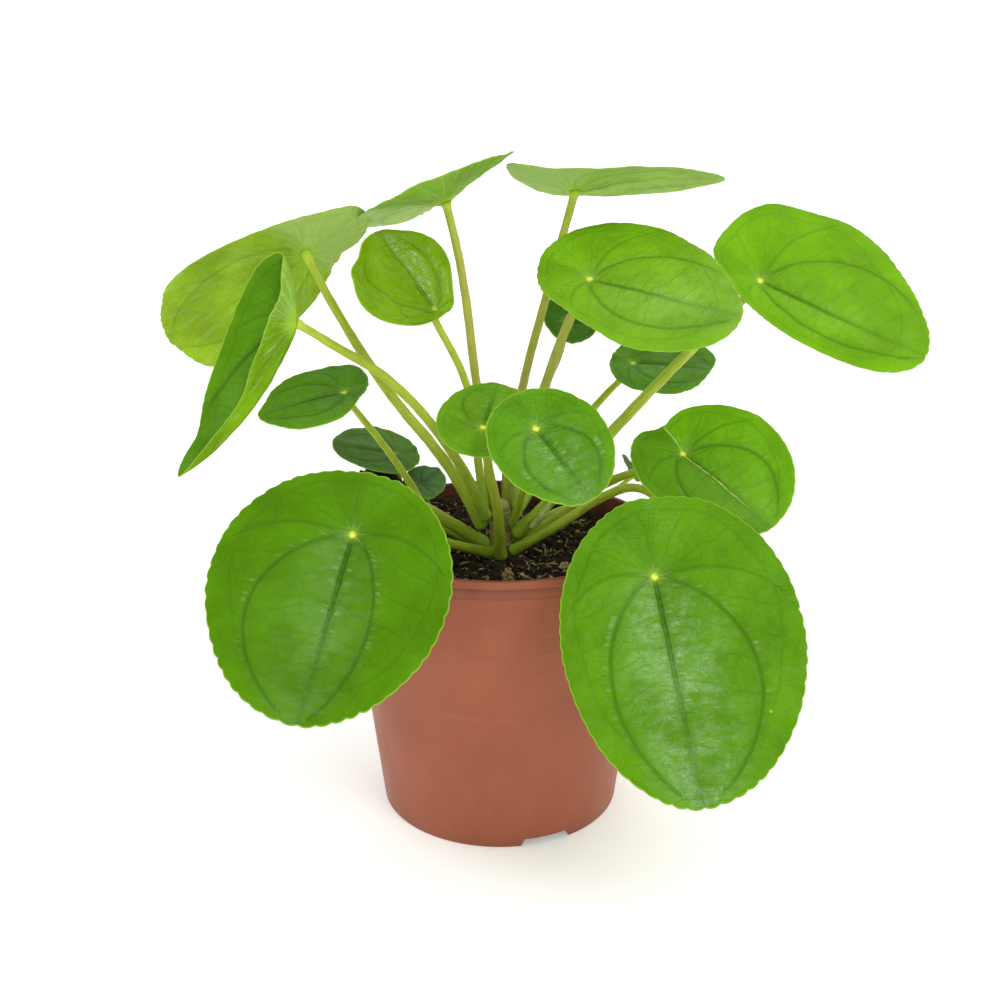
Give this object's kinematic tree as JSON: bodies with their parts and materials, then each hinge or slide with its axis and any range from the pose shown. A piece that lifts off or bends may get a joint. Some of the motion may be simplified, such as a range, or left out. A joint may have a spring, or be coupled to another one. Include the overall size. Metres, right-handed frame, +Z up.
{
  "type": "potted pilea plant",
  "caption": "Young pilea (Chinese money plant) with round leaves on long arching stalks, rooted in dark soil in a plain brown plastic nursery pot.",
  "frame": {"origin": "centre of the pot's underside, on the surface that the pot stands on", "axes": "+Z up along the pot's axis, -Y towards the side that the picture shows, +X to that viewer's right"},
  "size_m": [0.2901, 0.1786, 0.2507],
  "materials": {
    "pot_plastic": "satin",
    "potting_soil": "matte",
    "bark_chip": "matte",
    "stem_bark": "matte",
    "stipule": "satin",
    "leaf_stalk": "satin",
    "leaf_stalk_brownish": "satin",
    "leaf_fresh": "satin",
    "leaf_bright": "satin",
    "leaf_deep": "satin",
    "leaf_shaded": "satin"
  },
  "bodies": {
    "root": {"pot": "pot_plastic", "potting_soil": "potting_soil", "peat_clump": "potting_soil", "bark_chip_1": "bark_chip", "bark_chip_2": "bark_chip", "bark_chip_3": "bark_chip", "main_stem": "stem_bark", "stipule": "stipule", "bare_leaf_stalk": "leaf_stalk", "leaf_blade_far_left": "leaf_fresh", "leaf_stalk_far_left": "leaf_stalk", "leaf_blade_folded_left": "leaf_bright", "leaf_stalk_folded_left": "leaf_stalk", "leaf_blade_top_left": "leaf_fresh", "leaf_stalk_top_left": "leaf_stalk_brownish", "leaf_blade_top_right": "leaf_fresh", "leaf_stalk_top_right": "leaf_stalk_brownish", "leaf_blade_small_upper": "leaf_bright", "leaf_stalk_small_upper": "leaf_stalk", "leaf_blade_upper_right": "leaf_bright", "leaf_stalk_upper_right": "leaf_stalk_brownish", "leaf_blade_far_right": "leaf_bright", "leaf_stalk_far_right": "leaf_stalk", "leaf_blade_right": "leaf_fresh", "leaf_stalk_right": "leaf_stalk", "leaf_blade_front_right": "leaf_fresh", "leaf_stalk_front_right": "leaf_stalk", "leaf_blade_front_left": "leaf_fresh", "leaf_stalk_front_left": "leaf_stalk", "leaf_blade_front_centre": "leaf_fresh", "leaf_stalk_front_centre": "leaf_stalk", "leaf_blade_centre_left": "leaf_deep", "leaf_stalk_centre_left": "leaf_stalk", "leaf_blade_mid_left": "leaf_deep", "leaf_stalk_mid_left": "leaf_stalk", "leaf_blade_behind_right": "leaf_shaded", "leaf_stalk_behind_right": "leaf_stalk", "leaf_blade_behind_centre": "leaf_shaded", "leaf_stalk_behind_centre": "leaf_stalk_brownish", "leaf_blade_bud": "leaf_shaded", "leaf_stalk_bud": "leaf_stalk", "leaf_blade_pup": "leaf_shaded", "leaf_stalk_pup": "leaf_stalk", "leaf_blade_small_pup": "leaf_shaded", "leaf_stalk_small_pup": "leaf_stalk"}
  },
  "joints": []
}
